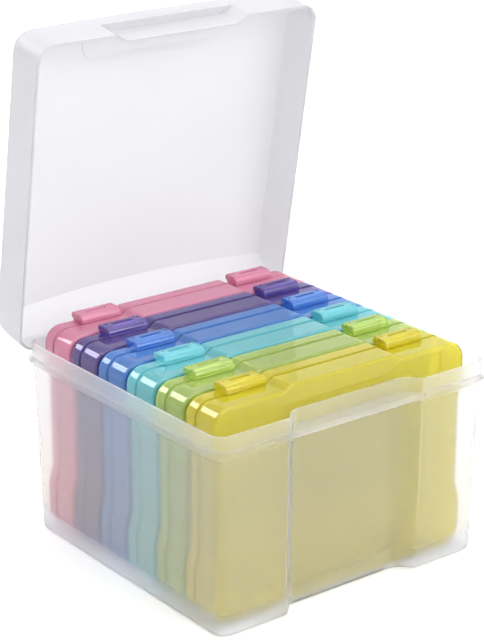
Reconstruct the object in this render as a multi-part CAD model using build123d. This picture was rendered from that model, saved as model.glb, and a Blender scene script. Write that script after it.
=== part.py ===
from build123d import *
import math
import os

# A storage box with a hinged lid that holds six photo cases, each standing on its long edge.
# Millimetres. X runs along the front, -Y is the front, +Z is up.
# The origin is the middle of the box's underside.

# --- Photo cases ----------------------------------------------------------------------------
case_colours = ["yellow", "green", "cyan", "blue", "purple", "pink"]  # front to back
case_width = 196.5
case_height = 138.9          # to the low parts of the top edge
case_thickness = 29.8
case_gap = 0.7               # between neighbours
case_wall = 1.3
case_face_wall = 1.5
base_depth = 19.1            # front shell, up to the seam
case_top_radius = 11.5
case_bottom_radius = 13.0
front_edge_radius = 1.6
front_inner_radius = 1.1
back_edge_radius = 3.5
seam_bevel_width = 3.2       # slanted band of the front shell beside the seam
seam_bevel_depth = 0.8
seam_chamfer = 0.5           # of the back shell beside the seam
hump_height = 3.4            # raised middle of the top edge
hump_run = 5.0
hump_foot_radius = 3.0
hump_shoulder_radius = 4.0
waist_depth = 3.5            # narrower sides between the two shoulders
waist_upper_run = 9.0
waist_lower_run = 12.0
waist_radius = 6.0
waist_above_bottom = 31.0
waist_below_top = 25.2
tongue_wall = 0.7
tongue_height = 2.0
tongue_root = 4.0
fit_gap = 0.12

# --- Latches on each case -------------------------------------------------------------------
latch_inset = 36.25          # middle of a latch to the side of the case
latch_length = 30.0
latch_hump_gap = 1.5         # to the foot of the hump
latch_rise = 5.8             # above the low part of the top edge
latch_wall = 1.5
latch_cheek = 1.8            # end walls
latch_edge_radius = 0.8
latch_front_radius = 4.5
latch_overhang = 3.0         # how far its front hangs past the seam
latch_end_gap = 0.3
latch_foot_gap = 0.4
latch_knuckle_radius = 2.3
latch_back_inset = 3.0       # hinge axis to the back of the case
latch_pin_radius = 1.1
latch_ear_wall = 2.0
latch_window_length = 15.0
latch_window_width = 2.2
pin_clearance = 0.06
catch_length = 20.0
catch_width = 1.1
catch_height = 1.2

# --- Hinge at the foot of each case ---------------------------------------------------------
case_hinge_x = 55.0
hinge_notch_length = 18.0
hinge_clearance = 0.4
hinge_notch_height = 6.2
hinge_axis_height = 3.0
hinge_axis_inset = 1.6       # in front of the seam
hinge_pin_radius = 1.1
hook_radius = 2.3
hook_length = 12.0

# --- Box ------------------------------------------------------------------------------------
box_wall = 1.8
box_floor = 2.2
case_lift_gap = 0.3          # cases to the floor
case_reveal = 10.6           # how far the cases stand above the rim
side_clearance = 2.3         # cases to the side walls at the floor
front_clearance = 0.7        # cases to the recessed front wall at the floor
back_clearance = 4.6         # cases to the back wall at the floor
side_draft = 3.65
end_draft = 2.6
base_corner_radius = 9.5
rim_corner_radius = 10.0
base_edge_radius = 3.6
recess_depth = 9.2
recess_flat = 43.0           # half width at the back of the recess
recess_mouth = 51.5          # half width where it meets the front wall
recess_inner_radius = 9.0
recess_mouth_radius = 3.0
ridge_below_rim = 8.8
ridge_height = 4.0
ridge_reach = 2.6
ridge_radius = 1.5
shelf_wall = 2.2
shelf_reach = 0.8            # in front of the front wall
rim_edge_radius = 0.5

# --- Lid of the box -------------------------------------------------------------------------
lid_wall = 1.8
lid_side_gap = 0.5           # around the rim
lid_seat_gap = 0.3           # above the ridge
lid_height = 29.0            # at its corners
lid_crown = 4.0              # extra height along the middle
lid_edge_radius = 3.0
lid_slope_depth = 14.0       # slanted face along the back, seen from above
lid_slope_height = 15.0
lid_open_angle = 80.0
lid_recess_depth = 5.0
lid_recess_height = 18.5
scoop_half_width = 54.0      # shallow pocket behind the front edge
scoop_length = 22.0
scoop_setback = 5.0
scoop_radius = 10.0
scoop_depth = 2.0

# --- Hinge of the box -----------------------------------------------------------------------
box_hinge_x = 60.0
box_hinge_reach = 2.9        # axis behind the rim
box_hinge_drop = 2.6         # axis below the top of the ridge
box_pin_radius = 1.5
box_knuckle_radius = 2.6
box_knuckle_length = 26.0
box_lug_wall = 4.0
box_lug_gap = 0.4
box_lug_drop = 11.0

overshoot = 1.0              # how far cuts run past a face

# --- Worked out from the sizes above --------------------------------------------------------
case_count = len(case_colours)
latch_centre_x = case_width / 2 - latch_inset
hump_half_width = latch_centre_x - latch_length / 2 - latch_hump_gap - hump_run
hinge_notch_depth = hinge_axis_inset + hook_radius + hinge_clearance
case_pitch = case_thickness + case_gap
stack_depth = case_count * case_thickness + (case_count - 1) * case_gap
case_floor_z = box_floor + case_lift_gap
box_height = case_floor_z + case_height - case_reveal
base_half_width = case_width / 2 + side_clearance + box_wall
base_half_depth = (front_clearance + stack_depth + back_clearance + recess_depth) / 2 + box_wall
recess_face_y = -base_half_depth + recess_depth
first_case_y = recess_face_y + box_wall + front_clearance
ridge_top = box_height - ridge_below_rim
ridge_bottom = ridge_top - ridge_height
rim_half_width = base_half_width + side_draft
rim_half_depth = base_half_depth + end_draft
lid_bottom = ridge_top + lid_seat_gap
lid_half_width = rim_half_width + lid_side_gap + lid_wall
lid_half_depth = rim_half_depth + lid_side_gap + lid_wall
lid_corner_radius = rim_corner_radius + lid_side_gap + lid_wall
lid_top = lid_bottom + lid_height
box_axis_y = rim_half_depth + box_hinge_reach
box_axis_z = ridge_top - box_hinge_drop
box_lug_reach = box_knuckle_length / 2 + box_lug_gap
recess_slant = math.atan2(recess_depth, recess_mouth - recess_flat)


# --- Shared helpers -------------------------------------------------------------------------
def rounded_face(corners, plane=Plane.XY):
    """A flat face from corners given as (u, v, radius)."""
    points = [(u, v) for u, v, radius in corners]
    radii = [radius for u, v, radius in corners]
    return plane * make_face(FilletPolyline(*points, radius=radii, close=True))


def block(x, y, z):
    """A box given by its lowest and highest value on each axis."""
    sizes = [high - low for low, high in (x, y, z)]
    centre = [(high + low) / 2 for low, high in (x, y, z)]
    return Pos(*centre) * Box(*sizes)


def rod(radius, x_low, x_high, y, z):
    """A round bar along X."""
    return Pos((x_low + x_high) / 2, y, z) * Rot(0, 90, 0) * Cylinder(radius, x_high - x_low)


# --- Photo cases ----------------------------------------------------------------------------
def case_outline(inset=0.0):
    """Outline of a case seen from the front, moved in by a wall."""
    half = case_width / 2 - inset
    waist = half - waist_depth
    top = case_height - inset
    bend = math.tan(math.atan2(hump_height, hump_run) / 2) * inset
    upper_bend = math.tan(math.atan2(waist_depth, waist_upper_run) / 2) * inset
    lower_bend = math.tan(math.atan2(waist_depth, waist_lower_run) / 2) * inset
    upper = case_height - waist_below_top + upper_bend
    lower = waist_above_bottom - lower_bend
    right = [
        (half, inset, case_bottom_radius - inset),
        (half, lower, waist_radius - inset),
        (waist, lower + waist_lower_run, waist_radius + inset),
        (waist, upper - waist_upper_run, waist_radius + inset),
        (half, upper, waist_radius - inset),
        (half, top, case_top_radius - inset),
        (hump_half_width + hump_run - bend, top, hump_foot_radius + inset),
        (hump_half_width - bend, top + hump_height, hump_shoulder_radius - inset),
    ]
    left = [(-x, z, radius) for x, z, radius in reversed(right)]
    return right + left


def case_prism(y_front, y_back, inset=0.0):
    """The case outline run from one depth to another."""
    return extrude(rounded_face(case_outline(inset), Plane.XZ.offset(-y_back)), y_back - y_front)


def hinge_notches(y_front, y_back, growth=0.0):
    """Room for the two hinges under the seam of a case."""
    half = hinge_notch_length / 2 + growth
    cuts = [
        block(
            (side * case_hinge_x - half, side * case_hinge_x + half),
            (y_front - growth, y_back + growth),
            (-overshoot, hinge_notch_height + growth),
        )
        for side in (-1, 1)
    ]
    return cuts[0] + cuts[1]


def case_base():
    """Front shell of a case, with its seam tongue, latch catches and hinge pins."""
    bevel_front = base_depth - seam_bevel_width
    outer = case_prism(0, bevel_front)
    outer = fillet(outer.faces().sort_by(Axis.Y)[0].edges(), front_edge_radius)
    outer += loft(
        [
            rounded_face(case_outline(), Plane.XZ.offset(-bevel_front)),
            rounded_face(case_outline(seam_bevel_depth), Plane.XZ.offset(-base_depth)),
        ],
        ruled=True,
    )
    cavity = case_prism(case_face_wall, base_depth, case_wall)
    cavity = fillet(cavity.faces().sort_by(Axis.Y)[0].edges(), front_inner_radius)
    notch_front = base_depth - hinge_notch_depth
    cavity -= hinge_notches(notch_front, base_depth, case_wall)
    shell = outer - cavity - hinge_notches(notch_front, base_depth)
    tongue = case_prism(base_depth - tongue_height, base_depth + tongue_height, case_wall + fit_gap)
    tongue -= case_prism(
        base_depth - tongue_height, base_depth + tongue_height, case_wall + fit_gap + tongue_wall
    )
    root_front = base_depth - tongue_root
    root = case_prism(root_front, base_depth, case_wall - fit_gap)
    root -= case_prism(root_front, base_depth, case_wall + fit_gap + tongue_wall)
    tongue -= hinge_notches(notch_front, base_depth + hinge_notch_depth, case_wall + fit_gap)
    root -= hinge_notches(notch_front, base_depth)
    shell = shell + tongue + root
    for side in (-1, 1):
        shell += latch_catch(side)
        shell += case_hinge_pin(side)
    return shell


def latch_catch(side):
    """The low rib that a latch snaps over."""
    x = side * latch_centre_x
    front = base_depth - latch_overhang + latch_wall + pin_clearance
    rib = block(
        (x - catch_length / 2, x + catch_length / 2),
        (front, front + catch_width),
        (case_height - case_wall, case_height + catch_height),
    )
    return fillet(rib.faces().sort_by(Axis.Z)[-1].edges().filter_by(Axis.X), catch_width / 3)


def case_hinge_pin(side):
    """The bar that crosses a hinge notch of the front shell."""
    x = side * case_hinge_x
    reach = hinge_notch_length / 2 + case_wall / 2
    return rod(
        hinge_pin_radius, x - reach, x + reach, base_depth - hinge_axis_inset, hinge_axis_height
    )


def case_lid():
    """Back shell of a case, with its latch ears and hinge hooks."""
    outer = case_prism(base_depth, case_thickness)
    outer = fillet(outer.faces().sort_by(Axis.Y)[-1].edges(), back_edge_radius)
    outer = chamfer(outer.faces().sort_by(Axis.Y)[0].edges(), seam_chamfer)
    cavity = case_prism(base_depth, case_thickness - case_face_wall, case_wall)
    cavity = fillet(cavity.faces().sort_by(Axis.Y)[-1].edges(), back_edge_radius - case_wall)
    notch_back = base_depth + hinge_notch_depth
    cavity -= hinge_notches(base_depth, notch_back, case_wall)
    shell = outer - cavity - hinge_notches(base_depth, notch_back)
    for side in (-1, 1):
        shell += case_hinge_hook(side)
        for end in (-1, 1):
            shell += latch_ear(side, end)
    return shell


def case_hinge_hook(side):
    """The open hook of the back shell that turns on a pin of the front shell."""
    x = side * case_hinge_x
    low, high = x - hook_length / 2, x + hook_length / 2
    y, z = base_depth - hinge_axis_inset, hinge_axis_height
    barrel = rod(hook_radius, low, high, y, z)
    arm = block(
        (low, high),
        (y, base_depth + hinge_notch_depth + case_wall / 2),
        (z + hook_radius - case_wall, z + hook_radius),
    )
    bore = rod(hinge_pin_radius + pin_clearance, low - overshoot, high + overshoot, y, z)
    mouth = block(
        (low - overshoot, high + overshoot),
        (y - hook_radius, y),
        (z - hook_radius, z - hinge_pin_radius / 2),
    )
    return barrel + arm - bore - mouth


def latch_axis():
    """Depth and height of a latch's hinge line in its case."""
    height = case_height + latch_rise - latch_knuckle_radius
    return case_thickness - latch_back_inset, height


def latch_ear_span(side, end):
    """Where an ear stands along X: inside a cheek of its latch."""
    outer = side * latch_centre_x + end * (latch_length / 2 - latch_cheek - latch_end_gap)
    return sorted((outer - end * latch_ear_wall, outer))


def latch_ear(side, end):
    """One of the two ears that hold a latch, standing on the back shell."""
    y, z = latch_axis()
    low, high = latch_ear_span(side, end)
    ear = rod(latch_knuckle_radius, low, high, y, z)
    ear += block(
        (low, high),
        (y - latch_knuckle_radius, y + latch_knuckle_radius - latch_foot_gap),
        (case_height - case_wall / 2, z),
    )
    return ear - rod(latch_pin_radius + pin_clearance, low - overshoot, high + overshoot, y, z)


def latch_profile(inset=0.0):
    """Side view of a latch as a face across X, moved in by a wall at its front and top."""
    y, z = latch_axis()
    front = base_depth - latch_overhang + inset
    foot = case_height + latch_foot_gap
    top = case_height + latch_rise - inset
    corners = [(front, foot, 0), (front, top, latch_front_radius - inset), (y, top, 0), (y, foot, 0)]
    return rounded_face(corners, Plane.YZ)


def latch(side):
    """A snap latch: a rounded cap with two cheeks, a window, a slot for each ear and its pins."""
    x = side * latch_centre_x
    half = latch_length / 2
    room = half - latch_cheek
    y, z = latch_axis()
    top = case_height + latch_rise
    body = Pos(x - half, 0, 0) * extrude(latch_profile(), latch_length)
    body += rod(latch_knuckle_radius, x - half, x + half, y, z)
    for end in (0, -1):
        rim = body.faces().sort_by(Axis.X)[end].edges()
        rim = rim.filter_by_position(Axis.Z, case_height + latch_rise / 2, top + overshoot)
        body = fillet(rim, latch_edge_radius)
    body -= Pos(x - room, 0, 0) * extrude(latch_profile(latch_wall), 2 * room)
    body += rod(latch_knuckle_radius, x - room, x + room, y, z)
    window_back = y - latch_knuckle_radius - latch_foot_gap
    body -= block(
        (x - latch_window_length / 2, x + latch_window_length / 2),
        (window_back - latch_window_width, window_back),
        (top - 2 * latch_wall, top + overshoot),
    )
    for end in (-1, 1):
        low, high = latch_ear_span(side, end)
        body -= block(
            (low - latch_end_gap, high + latch_end_gap),
            (window_back, y + latch_knuckle_radius + overshoot),
            (case_height, top + overshoot),
        )
    return body + rod(latch_pin_radius, x - room, x + room, y, z)


# --- Box ------------------------------------------------------------------------------------
def box_plan(height, inset=0.0):
    """Plan of the box at a height, moved in by a wall."""
    rise = height / box_height
    half_width = base_half_width + side_draft * rise - inset
    half_depth = base_half_depth + end_draft * rise - inset
    radius = base_corner_radius + (rim_corner_radius - base_corner_radius) * rise - inset
    face_y = -half_depth + recess_depth
    bend = math.tan(recess_slant / 2) * inset
    right = [
        (recess_flat + bend, face_y, recess_inner_radius + inset),
        (recess_mouth + bend, -half_depth, recess_mouth_radius - inset),
        (half_width, -half_depth, radius),
        (half_width, half_depth, radius),
    ]
    left = [(-x, y, corner) for x, y, corner in reversed(right)]
    return right + left


def box_taper(low, high, inset=0.0):
    """The drafted body of the box between two heights."""
    sections = [
        rounded_face(box_plan(height, inset), Plane.XY.offset(height)) for height in (low, high)
    ]
    return loft(sections, ruled=True)


def ridge_band():
    """The ridge around the box, with the shelf that closes the top of the recess."""
    rise = ridge_top / box_height
    half_width = base_half_width + side_draft * rise + ridge_reach
    half_depth = base_half_depth + end_draft * rise + ridge_reach
    radius = rim_corner_radius + ridge_reach
    plan = Plane.XY.offset(ridge_bottom) * RectangleRounded(2 * half_width, 2 * half_depth, radius)
    band = extrude(plan, ridge_height)
    band = fillet(band.faces().filter_by(Axis.Z).edges(), ridge_radius)
    front = -half_depth + ridge_reach - shelf_reach
    band -= block(
        (-recess_mouth, recess_mouth),
        (-half_depth - overshoot, front),
        (ridge_bottom - overshoot, ridge_top + overshoot),
    )
    band -= block(
        (-recess_mouth, recess_mouth),
        (front + box_wall, recess_face_y),
        (ridge_bottom - overshoot, ridge_top - shelf_wall),
    )
    for side in (-1, 1):
        x = side * box_hinge_x
        band -= block(
            (x - box_lug_reach, x + box_lug_reach),
            (base_half_depth, half_depth + overshoot),
            (ridge_bottom - overshoot, ridge_top + overshoot),
        )
    return band


def box_hinge_lug(x_low):
    """One upright lug that carries a hinge pin behind the box."""
    corners = [
        (base_half_depth, box_axis_z - box_lug_drop, 0),
        (box_axis_y + box_knuckle_radius, box_axis_z, 0),
        (base_half_depth, box_axis_z, 0),
    ]
    lug = Pos(x_low, 0, 0) * extrude(rounded_face(corners, Plane.YZ), box_lug_wall)
    return lug + rod(box_knuckle_radius, x_low, x_low + box_lug_wall, box_axis_y, box_axis_z)


def box_tub():
    """The open box with its ridge, front shelf and two hinge stations."""
    body = box_taper(0, box_height)
    body = fillet(body.faces().sort_by(Axis.Z)[0].edges(), base_edge_radius)
    body += ridge_band()
    for side in (-1, 1):
        x = side * box_hinge_x
        for x_low in (x - box_lug_reach - box_lug_wall, x + box_lug_reach):
            body += box_hinge_lug(x_low)
        pin_reach = box_lug_reach + box_lug_wall / 2
        body += rod(box_pin_radius, x - pin_reach, x + pin_reach, box_axis_y, box_axis_z)
    cavity = box_taper(box_floor, box_height + overshoot, box_wall)
    cavity = fillet(cavity.faces().sort_by(Axis.Z)[0].edges(), base_edge_radius - box_wall)
    tub = body - cavity
    return fillet(tub.faces().sort_by(Axis.Z)[-1].edges(), rim_edge_radius)


# --- Lid of the box -------------------------------------------------------------------------
def lid_block(inset=0.0):
    """The closed lid as a solid block down to the floor, moved in by a wall."""
    half_width = lid_half_width - inset
    half_depth = lid_half_depth - inset
    radius = lid_corner_radius - inset
    crown_top = lid_top - inset + lid_crown
    crown_radius = (half_width**2 + lid_crown**2) / (2 * lid_crown)
    body = extrude(RectangleRounded(2 * half_width, 2 * half_depth, radius), crown_top + overshoot)
    crown = Rot(90, 0, 0) * Cylinder(crown_radius, 4 * lid_half_depth)
    body &= Pos(0, 0, crown_top - crown_radius) * crown
    body = fillet(body.faces().sort_by(Axis.Z)[-1].edges(), lid_edge_radius - inset)
    slope = Plane(
        origin=(0, lid_half_depth - lid_slope_depth, lid_top),
        x_dir=(1, 0, 0),
        z_dir=(0, lid_slope_height, lid_slope_depth),
    )
    span = 4 * lid_half_width
    return body - slope * Pos(0, 0, span / 2 - inset) * Box(span, span, span)


def lid_recess(inset=0.0):
    """The step in the lid's front that follows the recess of the box."""
    front = -lid_half_depth
    slant = math.atan2(lid_recess_depth, recess_mouth - recess_flat)
    bend = math.tan(slant / 2) * inset
    back = front + lid_recess_depth + inset
    corners = [
        (-recess_mouth - bend, front + inset, 0),
        (-recess_mouth - bend, front - overshoot, 0),
        (recess_mouth + bend, front - overshoot, 0),
        (recess_mouth + bend, front + inset, 0),
        (recess_flat + bend, back, recess_inner_radius + inset),
        (-recess_flat - bend, back, recess_inner_radius + inset),
    ]
    return extrude(rounded_face(corners), lid_bottom + lid_recess_height + inset)


def lid_scoop(inset=0.0):
    """The shallow pocket let into the top of the lid."""
    half = scoop_half_width + inset
    front = -lid_half_depth + scoop_setback - inset
    back = front + scoop_length + 2 * inset
    plan = RectangleRounded(2 * half, back - front, scoop_radius + inset)
    floor_z = lid_top + lid_crown - scoop_depth - inset
    return Pos(0, (front + back) / 2, floor_z) * extrude(plan, lid_height)


def lid_knuckle(side):
    """A hinge knuckle of the lid with the arm that carries it."""
    x = side * box_hinge_x
    low, high = x - box_knuckle_length / 2, x + box_knuckle_length / 2
    knuckle = block(
        (low, high),
        (rim_half_depth + lid_side_gap, box_axis_y + box_knuckle_radius),
        (box_axis_z, lid_bottom + box_knuckle_radius),
    )
    knuckle = fillet(knuckle.faces().sort_by(Axis.Z)[-1].edges().sort_by(Axis.Y)[-1], lid_wall)
    knuckle += rod(box_knuckle_radius, low, high, box_axis_y, box_axis_z)
    bore = rod(
        box_pin_radius + pin_clearance, low - overshoot, high + overshoot, box_axis_y, box_axis_z
    )
    return knuckle - bore


def box_lid():
    """The lid, built closed and then swung open on its hinge."""
    room = lid_block(lid_wall) - lid_recess(lid_wall) - lid_scoop(lid_wall)
    lid = lid_block() - lid_recess() - lid_scoop() - room
    lid -= extrude(Rectangle(4 * lid_half_width, 4 * lid_half_depth), lid_bottom)
    for side in (-1, 1):
        lid += lid_knuckle(side)
    axis = Axis((0, box_axis_y, box_axis_z), (-1, 0, 0))
    return lid.rotate(axis, lid_open_angle)


# --- Assembly -------------------------------------------------------------------------------
def build_parts():
    """Every piece at its place, by name."""
    parts = {"box_tub": box_tub(), "box_lid": box_lid()}
    pieces = {
        "case_base": case_base(),
        "case_lid": case_lid(),
        "latch_left": latch(-1),
        "latch_right": latch(1),
    }
    for number, colour in enumerate(case_colours):
        place = Pos(0, first_case_y + number * case_pitch, case_floor_z)
        for name, piece in pieces.items():
            parts[f"{colour}_{name}"] = place * piece
    return parts


os.makedirs("parts", exist_ok=True)
for node, shape in build_parts().items():
    export_step(shape, f"parts/{node}.step")
print("box", box_height, "axis", box_axis_y, box_axis_z, "first case", first_case_y)
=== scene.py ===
# %% [markdown]
# # A frosted storage box with six tinted photo cases
# The real object is moulded plastic throughout: a milky box and lid, and six glossy see-through
# cases that stand in it like books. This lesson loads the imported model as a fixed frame, gives
# every moulded piece its plastic, and lights it the way clear plastic wants to be lit: by large
# white surfaces all round, because a clear thing only shows what it bends and reflects.

import math

import bpy
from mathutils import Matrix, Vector

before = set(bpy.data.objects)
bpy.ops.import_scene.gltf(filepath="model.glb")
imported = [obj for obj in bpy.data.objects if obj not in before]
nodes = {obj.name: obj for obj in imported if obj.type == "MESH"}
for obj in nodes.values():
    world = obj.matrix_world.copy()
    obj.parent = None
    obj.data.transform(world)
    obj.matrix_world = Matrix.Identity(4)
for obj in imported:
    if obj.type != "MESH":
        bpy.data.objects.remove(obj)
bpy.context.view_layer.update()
scene = bpy.context.scene

# %% [markdown]
# ## Camera
# A long lens from the front left, a little above the rim, so that the upright cases keep their
# parallel edges. The camera looks at a point on the middle axis and has no roll, which makes it
# easy to place from one azimuth, one elevation and one distance.

# %% Camera from an azimuth, an elevation and a distance
CAMERA_AZIMUTH = math.radians(-37.48)
CAMERA_ELEVATION = math.radians(19.94)
CAMERA_DISTANCE = 1.3205
CAMERA_TARGET = Vector((-0.00977, 0.0, 0.15301))

toward_camera = Vector((
    math.sin(CAMERA_AZIMUTH) * math.cos(CAMERA_ELEVATION),
    -math.cos(CAMERA_AZIMUTH) * math.cos(CAMERA_ELEVATION),
    math.sin(CAMERA_ELEVATION),
))
camera = bpy.data.objects.new("camera", bpy.data.cameras.new("camera"))
scene.collection.objects.link(camera)
camera.location = CAMERA_TARGET + toward_camera * CAMERA_DISTANCE
camera.rotation_mode = "QUATERNION"
camera.rotation_quaternion = toward_camera.to_track_quat("Z", "Y")
camera.data.sensor_width = 36.0
camera.data.lens = 118.31
camera.data.clip_end = 50.0
scene.camera = camera
print("camera at", [round(v, 3) for v in camera.location])

# %% [markdown]
# ## Light bounces
# A look through the stack passes two shells of every case and two walls of the box, and each wall
# has two surfaces. The usual limit of twelve bounces would leave black patches there, so the
# limit is raised until a ray can cross everything.

# %% Enough bounces to see through everything
scene.cycles.max_bounces = 40
scene.cycles.transmission_bounces = 40
scene.cycles.transparent_max_bounces = 40
scene.cycles.glossy_bounces = 12
scene.cycles.diffuse_bounces = 6
scene.view_settings.view_transform = "Standard"
print("bounces", scene.cycles.max_bounces)

# %% [markdown]
# ## Small helpers for node trees
# Node trees read best when each line says what is added and what feeds it. Three helpers do
# that: one adds a node and sets its sockets, one links two sockets and one starts a node group
# with named inputs and outputs.

# %% Helpers for node trees
def add_node(tree, kind, **values):
    """Adds a node; values are socket names, or attributes of the node itself."""
    node = tree.nodes.new(kind)
    for name, value in values.items():
        socket = name.replace("_", " ")
        if socket in node.inputs:
            node.inputs[socket].default_value = value
        else:
            setattr(node, name, value)
    return node


def wire(tree, source, target):
    """Links an output socket to an input socket."""
    tree.links.new(source, target)


def start_group(name, inputs, outputs):
    """A shader node group with its interface; inputs map a name to a default number."""
    tree = bpy.data.node_groups.new(name, "ShaderNodeTree")
    for label, default in inputs.items():
        socket = tree.interface.new_socket(label, in_out="INPUT", socket_type="NodeSocketFloat")
        socket.default_value = default
    for label in outputs:
        tree.interface.new_socket(label, in_out="OUTPUT", socket_type="NodeSocketFloat")
    return tree, tree.nodes.new("NodeGroupInput"), tree.nodes.new("NodeGroupOutput")


print("helpers ready")

# %% [markdown]
# ## Handling marks
# Clear plastic that is taken in and out of a box picks up hairline scratches, mostly along its
# flat faces. They could be an image, but a stretched noise does it with no file: the noise is
# squeezed across one direction and stretched along the other, and only its thin crests are kept.
# Two directions are added so that the marks cross. The group puts out a mask, which each
# material feeds to its roughness.

# %% Group: hairline scratches
def make_scratches():
    tree, given, out = start_group("hairline_scratches", {"Scale": 60.0, "Amount": 0.5}, ["Mask"])
    place = add_node(tree, "ShaderNodeTexCoord")
    crests = []
    for turn, stretch in ((0.5, (1.0, 0.06, 0.06)), (2.1, (0.06, 1.0, 0.08))):
        mapping = add_node(tree, "ShaderNodeMapping", Rotation=(0.3, 0.2, turn), Scale=stretch)
        wire(tree, place.outputs["Object"], mapping.inputs["Vector"])
        noise = add_node(tree, "ShaderNodeTexNoise", Detail=3.0, Roughness=0.6)
        wire(tree, mapping.outputs["Vector"], noise.inputs["Vector"])
        wire(tree, given.outputs["Scale"], noise.inputs["Scale"])
        crest = add_node(tree, "ShaderNodeMapRange")
        crest.inputs["From Min"].default_value = 0.62
        crest.inputs["From Max"].default_value = 0.72
        wire(tree, noise.outputs["Fac"], crest.inputs["Value"])
        crests.append(crest.outputs["Result"])
    both = add_node(tree, "ShaderNodeMath", operation="MAXIMUM")
    wire(tree, crests[0], both.inputs[0])
    wire(tree, crests[1], both.inputs[1])
    scaled = add_node(tree, "ShaderNodeMath", operation="MULTIPLY")
    wire(tree, both.outputs[0], scaled.inputs[0])
    wire(tree, given.outputs["Amount"], scaled.inputs[1])
    wire(tree, scaled.outputs[0], out.inputs["Mask"])
    return tree


scratches_group = make_scratches()
print("group", scratches_group.name, "nodes", len(scratches_group.nodes))

# %% [markdown]
# ## Moulded surface
# A moulded wall is never perfectly flat: it sinks a little as it cools, in soft waves a few
# centimetres long, and a milky plastic is cloudier where it flowed slowly. The group gives both
# from one pair of noises: a height for the bump and a cloud value for the colour.

# %% Group: moulding waves and cloud
def make_moulding():
    tree, given, out = start_group(
        "moulding_waves", {"Wave scale": 18.0, "Grain scale": 900.0, "Grain": 0.2}, ["Height", "Cloud"]
    )
    place = add_node(tree, "ShaderNodeTexCoord")
    wave = add_node(tree, "ShaderNodeTexNoise", Detail=1.5, Roughness=0.4)
    wire(tree, place.outputs["Object"], wave.inputs["Vector"])
    wire(tree, given.outputs["Wave scale"], wave.inputs["Scale"])
    grain = add_node(tree, "ShaderNodeTexNoise", Detail=2.0)
    wire(tree, place.outputs["Object"], grain.inputs["Vector"])
    wire(tree, given.outputs["Grain scale"], grain.inputs["Scale"])
    part = add_node(tree, "ShaderNodeMath", operation="MULTIPLY_ADD")
    wire(tree, grain.outputs["Fac"], part.inputs[0])
    wire(tree, given.outputs["Grain"], part.inputs[1])
    wire(tree, wave.outputs["Fac"], part.inputs[2])
    wire(tree, part.outputs[0], out.inputs["Height"])
    wire(tree, wave.outputs["Fac"], out.inputs["Cloud"])
    return tree


moulding_group = make_moulding()
print("group", moulding_group.name, "nodes", len(moulding_group.nodes))

# %% [markdown]
# ## Starting a material
# All the plastics here start from one Principled shader and differ in what feeds it. A few
# helpers keep that readable: one places a shared group with its own values, one starts a
# material, and three turn a mask into a colour, a number or a bump.

# %% Helpers for materials
def place_group(tree, group, **values):
    """Adds a node group to a material and sets its named inputs."""
    node = add_node(tree, "ShaderNodeGroup", node_tree=group)
    for name, value in values.items():
        node.inputs[name.replace("_", " ")].default_value = value
    return node


def start_material(name):
    material = bpy.data.materials.new(name)
    material.use_nodes = True
    tree = material.node_tree
    tree.nodes.clear()
    shader = add_node(tree, "ShaderNodeBsdfPrincipled")
    output = add_node(tree, "ShaderNodeOutputMaterial")
    wire(tree, shader.outputs["BSDF"], output.inputs["Surface"])
    return material, tree, shader


def blend_colours(tree, mask, low, high):
    """A colour that runs from low to high with a mask."""
    mix = add_node(tree, "ShaderNodeMix", data_type="RGBA")
    mix.inputs[6].default_value = (*low, 1.0)
    mix.inputs[7].default_value = (*high, 1.0)
    wire(tree, mask, mix.inputs[0])
    return mix.outputs[2]


def range_of(tree, mask, low, high):
    """A number that runs from low to high as the mask goes from 0 to 1."""
    span = add_node(tree, "ShaderNodeMapRange")
    span.inputs["To Min"].default_value = low
    span.inputs["To Max"].default_value = high
    wire(tree, mask, span.inputs["Value"])
    return span.outputs["Result"]


def bump_from(tree, height, strength, distance):
    bump = add_node(tree, "ShaderNodeBump", Strength=strength, Distance=distance)
    wire(tree, height, bump.inputs["Height"])
    return bump.outputs["Normal"]


print("material helpers ready")

# %% [markdown]
# ## Dye in the thickness
# A colour on the surface is the same however thick the plastic is. Real plastic is deeper in
# colour where light runs a long way inside it, along a rim or through a rib. A volume that
# absorbs light does that by itself, so each plastic gets one.

# %% Dye that absorbs along the way
def add_dye(tree, tint, density):
    """Lets the plastic absorb light along its whole thickness."""
    dye = add_node(tree, "ShaderNodeVolumeAbsorption", Color=(*tint, 1.0), Density=density)
    wire(tree, dye.outputs["Volume"], tree.nodes["Material Output"].inputs["Volume"])


print("dye ready")

# %% [markdown]
# ## A mask from heights
# The tub is not equally cloudy all over. It could be painted on a map, but its zones are level
# bands, so a mask that is read from the height is enough: it rises softly where a band starts
# and falls softly where it ends.

# %% A mask that follows the height
def height_mask(tree, bands):
    """A mask that is 1 inside bands of height; each is (starts, full, full, ends) in metres."""
    place = add_node(tree, "ShaderNodeTexCoord")
    split = add_node(tree, "ShaderNodeSeparateXYZ")
    wire(tree, place.outputs["Object"], split.inputs["Vector"])
    total = None
    for rise_start, rise_end, fall_start, fall_end in bands:
        rise = add_node(tree, "ShaderNodeMapRange", interpolation_type="SMOOTHSTEP")
        rise.inputs["From Min"].default_value = rise_start
        rise.inputs["From Max"].default_value = rise_end
        fall = add_node(tree, "ShaderNodeMapRange", interpolation_type="SMOOTHSTEP")
        fall.inputs["From Min"].default_value = fall_end
        fall.inputs["From Max"].default_value = fall_start
        for ramp in (rise, fall):
            wire(tree, split.outputs["Z"], ramp.inputs["Value"])
        band = add_node(tree, "ShaderNodeMath", operation="MULTIPLY")
        wire(tree, rise.outputs["Result"], band.inputs[0])
        wire(tree, fall.outputs["Result"], band.inputs[1])
        if total is None:
            total = band.outputs[0]
        else:
            both = add_node(tree, "ShaderNodeMath", operation="MAXIMUM")
            wire(tree, total, both.inputs[0])
            wire(tree, band.outputs[0], both.inputs[1])
            total = both.outputs[0]
    return total


print("height mask ready")
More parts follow.
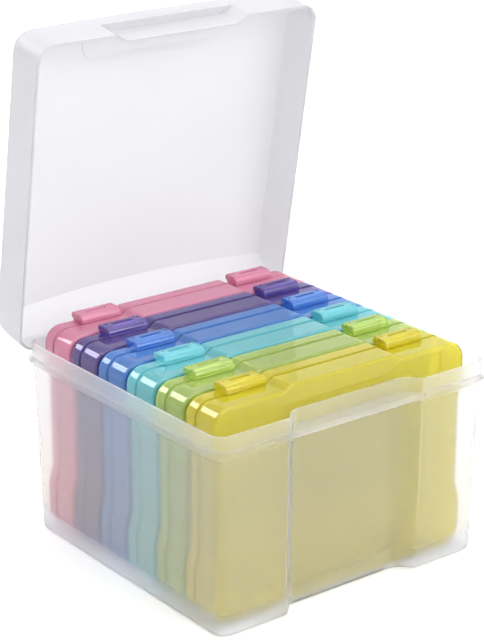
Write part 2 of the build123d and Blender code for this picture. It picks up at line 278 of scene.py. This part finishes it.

# %% [markdown]
# ## Frosted plastic
# The box and its lid are natural polypropylene, a milky plastic that lets light through but
# blurs what lies behind it. One way is a rough glass alone, but that stays too clear; leaving
# some plain white in, by a transmission below one, gives the milk. The index is set lower than
# that of solid polypropylene, because the fine grain of both faces softens the dark outlines
# that a clean sheet of glass would show. Masks by height then make chosen bands cloudier or
# give them a colour of their own, or a whiter colour that is painted light.

# %% Material: frosted polypropylene
FROST_DENSITY = 80.0


def make_frosted(name, milk, haze, tint, cloudy_bands=(), band_colours=()):
    material, tree, shader = start_material(name)
    shader.inputs["Transmission Weight"].default_value = 1.0 - milk
    shader.inputs["IOR"].default_value = 1.28
    moulding = place_group(tree, moulding_group, Wave_scale=14.0, Grain_scale=700.0, Grain=0.15)
    scratches = place_group(tree, scratches_group, Scale=45.0, Amount=0.12)
    cloudy = tuple(min(1.0, value + 0.04) for value in tint)
    colour = blend_colours(tree, moulding.outputs["Cloud"], tint, cloudy)
    for bands, band_colour in band_colours:
        banded = add_node(tree, "ShaderNodeMix", data_type="RGBA")
        wire(tree, height_mask(tree, bands), banded.inputs[0])
        wire(tree, colour, banded.inputs[6])
        banded.inputs[7].default_value = (*band_colour, 1.0)
        colour = banded.outputs[2]
    wire(tree, colour, shader.inputs["Base Color"])
    rough = range_of(tree, scratches.outputs["Mask"], haze, haze + 0.25)
    if cloudy_bands:
        cloudier = add_node(tree, "ShaderNodeMath", operation="MULTIPLY_ADD", use_clamp=True)
        cloudier.inputs[1].default_value = 0.35
        wire(tree, height_mask(tree, cloudy_bands), cloudier.inputs[0])
        wire(tree, rough, cloudier.inputs[2])
        rough = cloudier.outputs[0]
    wire(tree, rough, shader.inputs["Roughness"])
    wire(tree, bump_from(tree, moulding.outputs["Height"], 0.25, 0.0004), shader.inputs["Normal"])
    add_dye(tree, (0.88, 0.88, 0.90), FROST_DENSITY)
    return material


print("frosted recipe ready, dye density", FROST_DENSITY)

# %% [markdown]
# ## The tub and the lid
# Both are the same plastic. The tub is thin and shows the cases, so it has little milk. Its
# foot and the collar from the ridge up to the rim are double walls and folds, which look
# cloudier. Its lower wall gets a whiter, warmer colour: painted light that stands for the light
# it gathers from the table. The lid stands alone before the background and is a good deal whiter.

# %% Frosted tub and lid
FOOT_BAND = (-0.002, -0.001, 0.0020, 0.0180)   # where the walls meet the floor
# The lower band is painted light: its whiter, warmer colour stands for light from the table.
PAINTED_TABLE_LIGHT_BAND = (0.0100, 0.0220, 0.0300, 0.0900)   # the lower wall, lit from the table
COLLAR_BAND = (0.1150, 0.1170, 0.1320, 0.1330)  # from the ridge up to the rim
frosted_box = make_frosted(
    "frosted_box", milk=0.11, haze=0.23, tint=(0.925, 0.922, 0.92),
    cloudy_bands=(FOOT_BAND, COLLAR_BAND),
    band_colours=(((PAINTED_TABLE_LIGHT_BAND,), (1.0, 0.98, 0.94)), ((FOOT_BAND,), (0.95, 0.955, 0.97)),
                  ((COLLAR_BAND,), (0.98, 0.98, 0.97))),
)
frosted_lid = make_frosted("frosted_lid", milk=0.42, haze=0.30, tint=(0.84, 0.84, 0.86))
print("materials", frosted_box.name, frosted_lid.name, "foot up to", FOOT_BAND[3])

# %% [markdown]
# ## Tinted clear plastic
# The cases are clear polystyrene with dye in it, polished in the mould. Two things give it its
# look. The dye is in the whole thickness, so a flat wall stays pale while a rim or a seam that is
# looked at lengthways turns deep: that is a volume that absorbs light. The plastic also carries a
# little light sideways, so that a case glows in its own colour even before a dark background:
# that is a small diffuse share, left over by a transmission of less than one. Pale dyes glow
# more than deep ones, so each case has a share of its own beside its dye.

# %% Material: one tinted plastic per case
CASE_TINTS = {                             # dye, and the share that glows
    "yellow": ((1.0, 0.905, 0.05), 0.28),
    "green": ((0.82, 0.98, 0.31), 0.25),
    "cyan": ((0.32, 0.93, 1.0), 0.32),
    "blue": ((0.15, 0.45, 1.0), 0.32),
    "purple": ((0.34, 0.25, 0.74), 0.16),
    "pink": ((1.0, 0.43, 0.62), 0.46),
}
CASE_DYE_DENSITY = 60.0


def make_tinted(name, tint, glow):
    material, tree, shader = start_material(name)
    shader.inputs["Transmission Weight"].default_value = 1.0 - glow
    shader.inputs["IOR"].default_value = 1.59
    moulding = place_group(tree, moulding_group, Wave_scale=22.0, Grain_scale=400.0, Grain=0.02)
    scratches = place_group(tree, scratches_group, Scale=80.0, Amount=0.6)
    pale = tuple(min(1.0, value * 1.03) for value in tint)
    wire(tree, blend_colours(tree, moulding.outputs["Cloud"], tint, pale), shader.inputs["Base Color"])
    wire(tree, range_of(tree, scratches.outputs["Mask"], 0.03, 0.16), shader.inputs["Roughness"])
    wire(tree, bump_from(tree, moulding.outputs["Height"], 0.12, 0.0006), shader.inputs["Normal"])
    add_dye(tree, tint, CASE_DYE_DENSITY)
    return material


case_plastics = {
    colour: make_tinted(f"tinted_{colour}", tint, glow) for colour, (tint, glow) in CASE_TINTS.items()
}
print("tints", sorted(case_plastics))

# %% [markdown]
# ## Put each plastic on its pieces
# The frame's nodes carry the colour of their case in their names, so one loop can dress them all.

# %% Dress the pieces
def dress(node, material):
    node.data.materials.clear()
    node.data.materials.append(material)


for name, node in nodes.items():
    if name == "box_tub":
        dress(node, frosted_box)
    elif name == "box_lid":
        dress(node, frosted_lid)
    else:
        dress(node, case_plastics[name.split("_")[0]])
print("dressed", len(nodes), "pieces")

# %% [markdown]
# ## Floor
# A wide pale sheet carries the box and keeps its soft shadow. Pale paint alone looks grey at a
# plain light level. More light would bleach the plastic as well, so the floor itself is lifted a
# little instead, only for rays that come straight from the camera, and less for rays that come
# through plastic or off its gloss. The walls of the tub then still stand out from it.

# %% Floor
def make_floor():
    material, tree, shader = start_material("pale_floor")
    shader.inputs["Base Color"].default_value = (0.93, 0.93, 0.93, 1.0)
    shader.inputs["Roughness"].default_value = 0.9
    shader.inputs["Specular IOR Level"].default_value = 0.1
    path = add_node(tree, "ShaderNodeLightPath")
    through = add_node(tree, "ShaderNodeMath", operation="MAXIMUM")
    wire(tree, path.outputs["Is Transmission Ray"], through.inputs[0])
    wire(tree, path.outputs["Is Glossy Ray"], through.inputs[1])
    faint = add_node(tree, "ShaderNodeMath", operation="MULTIPLY")
    faint.inputs[1].default_value = 0.24
    wire(tree, through.outputs[0], faint.inputs[0])
    glow = add_node(tree, "ShaderNodeMath", operation="MULTIPLY_ADD")
    glow.inputs[1].default_value = 0.22
    wire(tree, path.outputs["Is Camera Ray"], glow.inputs[0])
    wire(tree, faint.outputs[0], glow.inputs[2])
    shader.inputs["Emission Color"].default_value = (1.0, 1.0, 1.0, 1.0)
    wire(tree, glow.outputs[0], shader.inputs["Emission Strength"])
    mesh = bpy.data.meshes.new("floor")
    size = 8.0
    mesh.from_pydata(
        [(-size, -size, 0.0), (size, -size, 0.0), (size, size, 0.0), (-size, size, 0.0)], [], [(0, 1, 2, 3)]
    )
    floor = bpy.data.objects.new("floor", mesh)
    scene.collection.objects.link(floor)
    mesh.materials.append(material)
    return floor


floor = make_floor()
print("floor", floor.dimensions[:])

# %% [markdown]
# ## Sky
# Clear plastic wants light from all round. The sky gives that at a plain level and fades towards
# the left, which gives the cases' ends some depth. Wherever it is looked at directly, through
# plastic or in a reflection it is plain white.

# %% Sky
def make_sky(ambient):
    world = bpy.data.worlds.new("studio")
    scene.world = world
    world.use_nodes = True
    tree = world.node_tree
    tree.nodes.clear()
    path = add_node(tree, "ShaderNodeLightPath")
    light = add_node(tree, "ShaderNodeBackground", Color=(1.0, 1.0, 1.0, 1.0))
    white = add_node(tree, "ShaderNodeBackground", Color=(1.0, 1.0, 1.0, 1.0), Strength=1.0)
    place = add_node(tree, "ShaderNodeTexCoord")
    split = add_node(tree, "ShaderNodeSeparateXYZ")
    wire(tree, place.outputs["Generated"], split.inputs["Vector"])
    shade = add_node(tree, "ShaderNodeMapRange", interpolation_type="SMOOTHSTEP")
    shade.inputs["From Min"].default_value = -0.9
    shade.inputs["From Max"].default_value = 0.1
    shade.inputs["To Min"].default_value = 0.25 * ambient
    shade.inputs["To Max"].default_value = ambient
    wire(tree, split.outputs["X"], shade.inputs["Value"])
    wire(tree, shade.outputs["Result"], light.inputs["Strength"])
    seen = add_node(tree, "ShaderNodeMath", operation="MAXIMUM")
    wire(tree, path.outputs["Is Camera Ray"], seen.inputs[0])
    seen_too = add_node(tree, "ShaderNodeMath", operation="MAXIMUM")
    wire(tree, path.outputs["Is Transmission Ray"], seen_too.inputs[0])
    wire(tree, path.outputs["Is Glossy Ray"], seen_too.inputs[1])
    wire(tree, seen_too.outputs[0], seen.inputs[1])
    choose = add_node(tree, "ShaderNodeMixShader")
    output = add_node(tree, "ShaderNodeOutputWorld")
    wire(tree, seen.outputs[0], choose.inputs["Fac"])
    wire(tree, light.outputs["Background"], choose.inputs[1])
    wire(tree, white.outputs["Background"], choose.inputs[2])
    wire(tree, choose.outputs["Shader"], output.inputs["Surface"])
    return world


sky = make_sky(ambient=0.85)
print("sky", sky.name)

# %% [markdown]
# ## Lamps
# Four large soft lamps shape what the sky lights evenly. The long one at the back left draws the
# bright bars on the rounded corners of the cases, the one in front fills their faces, the one
# above lights their top edges, and a weak one on the right keeps that side open.

# %% Lamps
def add_softbox(name, place, aim, width, height, watts):
    lamp = bpy.data.lights.new(name, "AREA")
    lamp.shape = "RECTANGLE"
    lamp.size, lamp.size_y = width, height
    lamp.energy = watts
    thing = bpy.data.objects.new(name, lamp)
    scene.collection.objects.link(thing)
    thing.location = place
    direction = Vector(aim) - Vector(place)
    thing.rotation_mode = "QUATERNION"
    thing.rotation_quaternion = direction.to_track_quat("-Z", "Y")
    return thing


middle = (0.0, 0.0, 0.12)
add_softbox("softbox_back_left", (-0.75, 1.3, 1.15), middle, 0.5, 0.9, 9.0)
add_softbox("softbox_front", (0.5, -1.9, 1.3), middle, 1.6, 1.2, 19.0)
add_softbox("softbox_above", (0.0, 0.3, 1.9), middle, 2.4, 2.4, 19.0)
add_softbox("softbox_right", (1.5, -0.9, 1.1), middle, 1.0, 1.2, 4.0)
